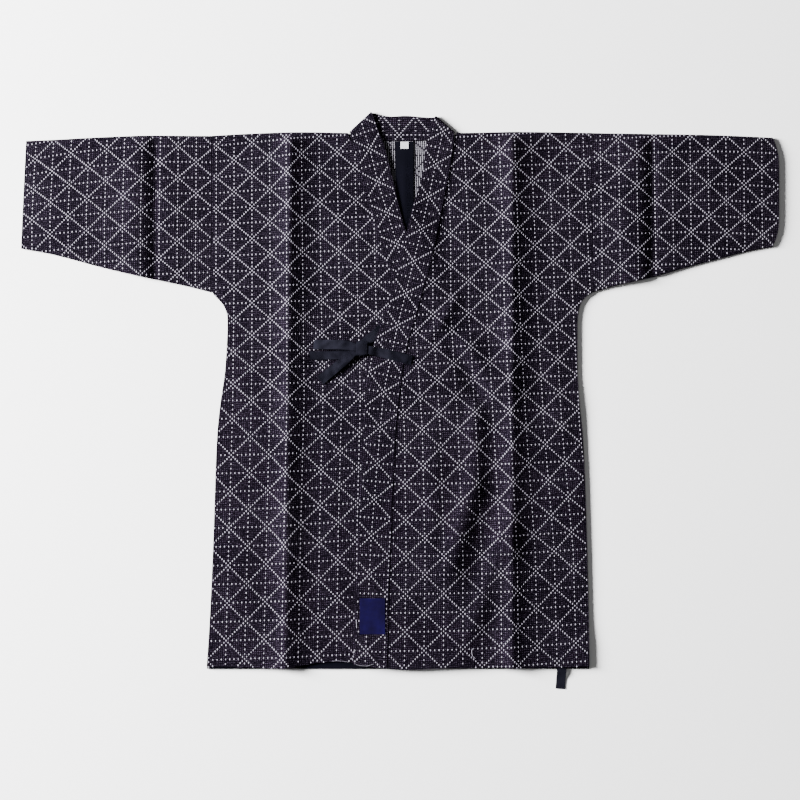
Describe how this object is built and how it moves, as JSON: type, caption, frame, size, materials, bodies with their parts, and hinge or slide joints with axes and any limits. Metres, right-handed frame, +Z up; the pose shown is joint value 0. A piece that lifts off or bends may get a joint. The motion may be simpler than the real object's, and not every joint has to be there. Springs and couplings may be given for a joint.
{
  "type": "kendo practice jacket",
  "caption": "Wide-sleeved wrap-over practice jacket of woven cotton with a band collar and a tape bow, laid flat on its back.",
  "frame": {"origin": "on the surface it lies on, under the middle of its outline", "axes": "+X to the wearer's left along the sleeves, +Y from the hem to the neck, +Z up off the surface"},
  "size_m": [1.2027, 0.9169, 0.0162],
  "materials": {
    "woven_cotton": "heavy woven cotton, near-black navy ground with small white floats in a diamond lattice, matt",
    "band_cotton": "the same cotton folded double and stitched flat, matt",
    "navy_tape": "flat cotton tape, dark slate navy, matt",
    "navy_rib": "ribbed cotton strip, dark navy, matt",
    "white_cotton": "white cotton of the small tag and of the floats in the weave, matt",
    "label_blue": "plain woven label, deep blue, slight sheen"
  },
  "bodies": {
    "root": {"body_panel_right": "woven_cotton", "body_panel_left": "woven_cotton", "sleeve_right": "woven_cotton", "sleeve_left": "woven_cotton", "collar_band": "band_cotton", "back_seam_tape": "navy_tape", "hem_facing": "navy_rib", "size_tag": "white_cotton", "hem_label": "label_blue", "tie_left": "navy_tape", "tie_right": "navy_tape", "bow_loop": "navy_tape", "bow_tail_long": "navy_tape", "bow_tail_short": "navy_tape", "tie_inner": "navy_tape", "bow_knot": "navy_tape"}
  },
  "joints": []
}
